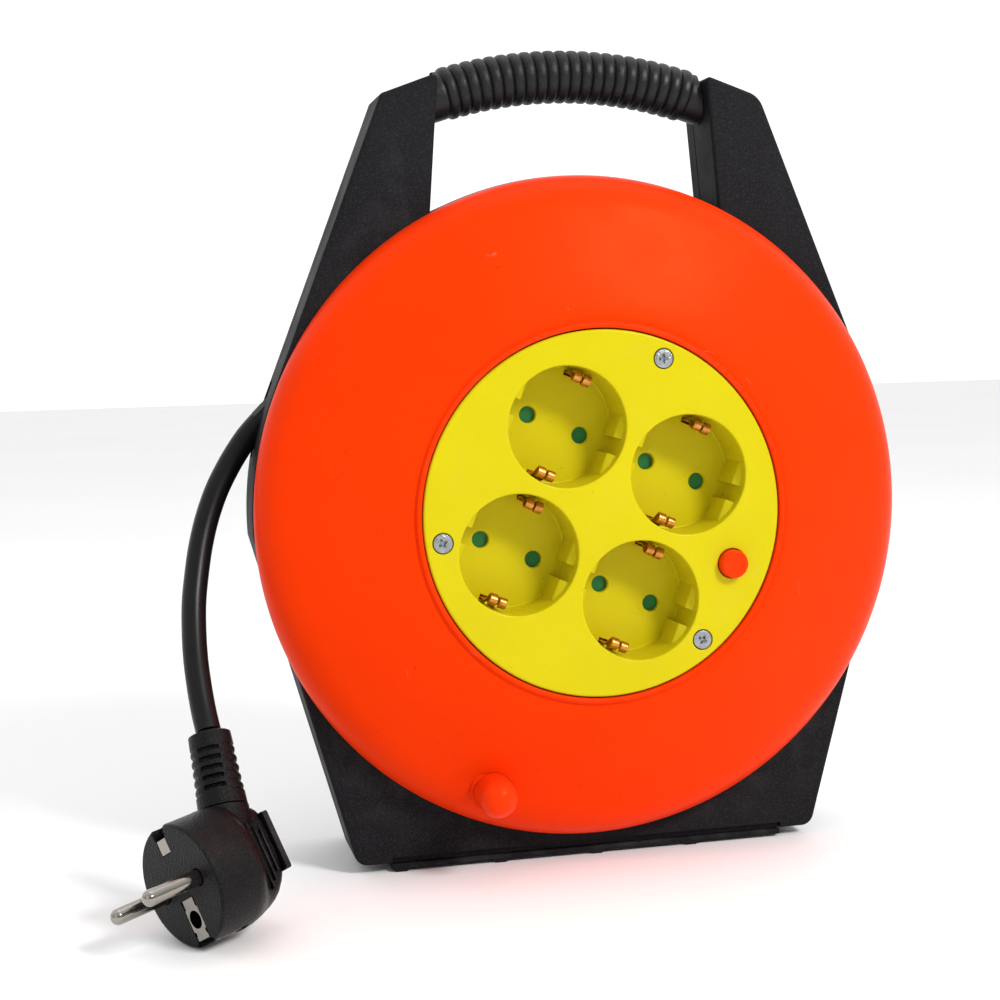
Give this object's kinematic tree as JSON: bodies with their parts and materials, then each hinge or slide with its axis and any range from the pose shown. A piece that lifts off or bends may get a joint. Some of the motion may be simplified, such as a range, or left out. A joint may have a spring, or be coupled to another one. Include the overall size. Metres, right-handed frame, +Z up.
{
  "type": "extension cord reel",
  "caption": "Flat cassette cable reel: sockets in a turning drum with a finger knob, black casing with carrying handle, lead with angled plug.",
  "frame": {"origin": "on the surface the reel stands on, under the middle of the casing's width and depth", "axes": "+Z up through the handle, +Y from the sockets to the back, +X to the right seen from the sockets"},
  "size_m": [0.2687, 0.1239, 0.2691],
  "materials": {
    "casing_plastic": "fine-grained satin black moulding",
    "grip_plastic": "smooth satin black",
    "disc_plastic": "semi-gloss orange red",
    "insert_plastic": "semi-gloss lemon yellow",
    "carrier_plastic": "matt grey",
    "shutter_plastic": "matt dark green",
    "cable_sheath": "satin black sheath",
    "zinc_steel": "zinc-plated steel",
    "contact_brass": "plain coppery brass",
    "nickel_plate": "bright nickel plating"
  },
  "bodies": {
    "casing": {"front_shell": "casing_plastic", "rear_shell": "casing_plastic", "casing_screw_1": "zinc_steel", "casing_screw_2": "zinc_steel", "casing_screw_3": "zinc_steel", "casing_screw_4": "zinc_steel", "casing_screw_5": "zinc_steel", "casing_screw_6": "zinc_steel", "foot_rail": "casing_plastic", "handle_core": "casing_plastic", "handle_grip": "grip_plastic", "axle": "zinc_steel", "axle_washer": "zinc_steel", "axle_screw": "zinc_steel", "outlet_lead": "cable_sheath", "lead_cord": "cable_sheath", "plug_body": "cable_sheath", "plug_boot": "cable_sheath", "plug_pin_1": "nickel_plate", "plug_pin_2": "nickel_plate", "plug_earth_clip_1": "nickel_plate", "plug_earth_clip_2": "nickel_plate"},
    "drum": {"front_disc": "disc_plastic", "drum_spool": "casing_plastic", "wound_cable": "cable_sheath", "inner_lead": "cable_sheath", "cable_clamp": "carrier_plastic", "clamp_screw_1": "zinc_steel", "clamp_screw_2": "zinc_steel", "socket_insert": "insert_plastic", "neutral_busbar": "contact_brass", "live_busbar": "contact_brass", "earth_clip_1": "contact_brass", "earth_clip_2": "contact_brass", "earth_clip_3": "contact_brass", "earth_clip_4": "contact_brass", "contact_carrier": "carrier_plastic", "carrier_screw_1": "zinc_steel", "carrier_screw_2": "zinc_steel", "insert_screw_1": "zinc_steel", "insert_screw_2": "zinc_steel", "insert_screw_3": "zinc_steel", "thermal_cutout": "carrier_plastic", "reset_spring": "zinc_steel", "knob_pin": "zinc_steel"},
    "knob": {"crank_knob": "disc_plastic"},
    "button": {"reset_button": "disc_plastic"},
    "shutter_bar_1": {"shutter_1": "shutter_plastic"},
    "shutter_bar_2": {"shutter_2": "shutter_plastic"},
    "shutter_bar_3": {"shutter_3": "shutter_plastic"},
    "shutter_bar_4": {"shutter_4": "shutter_plastic"}
  },
  "joints": [
    {"name": "drum_spin", "type": "hinge", "parent": "casing", "child": "drum", "pos_m": [0, 0, 0.1176], "axis": [0, 1, 0], "continuous": true},
    {"name": "knob_spin", "type": "hinge", "parent": "drum", "child": "knob", "pos_m": [-0.03738, -0.034, 0.02863], "axis": [0, 1, 0], "continuous": true},
    {"name": "reset_push", "type": "slide", "parent": "drum", "child": "button", "axis": [0, 1, 0], "range_m": [0, 0.0025], "stiffness_N_per_m": 300, "springref_m": -0.002, "deforming": ["reset_spring"]},
    {"name": "shutter_turn_1", "type": "hinge", "parent": "drum", "child": "shutter_bar_1", "pos_m": [-0.01157, -0.0138, 0.14595], "axis": [0, 1, 0], "range_deg": [0, 40], "stiffness_Nm_per_rad": 0.01, "springref_deg": -17.19},
    {"name": "shutter_turn_2", "type": "hinge", "parent": "drum", "child": "shutter_bar_2", "pos_m": [0.02835, -0.0138, 0.12917], "axis": [0, 1, 0], "range_deg": [0, 40], "stiffness_Nm_per_rad": 0.01, "springref_deg": -17.19},
    {"name": "shutter_turn_3", "type": "hinge", "parent": "drum", "child": "shutter_bar_3", "pos_m": [-0.02835, -0.0138, 0.10603], "axis": [0, 1, 0], "range_deg": [0, 40], "stiffness_Nm_per_rad": 0.01, "springref_deg": -17.19},
    {"name": "shutter_turn_4", "type": "hinge", "parent": "drum", "child": "shutter_bar_4", "pos_m": [0.01157, -0.0138, 0.08925], "axis": [0, 1, 0], "range_deg": [0, 40], "stiffness_Nm_per_rad": 0.01, "springref_deg": -17.19}
  ]
}
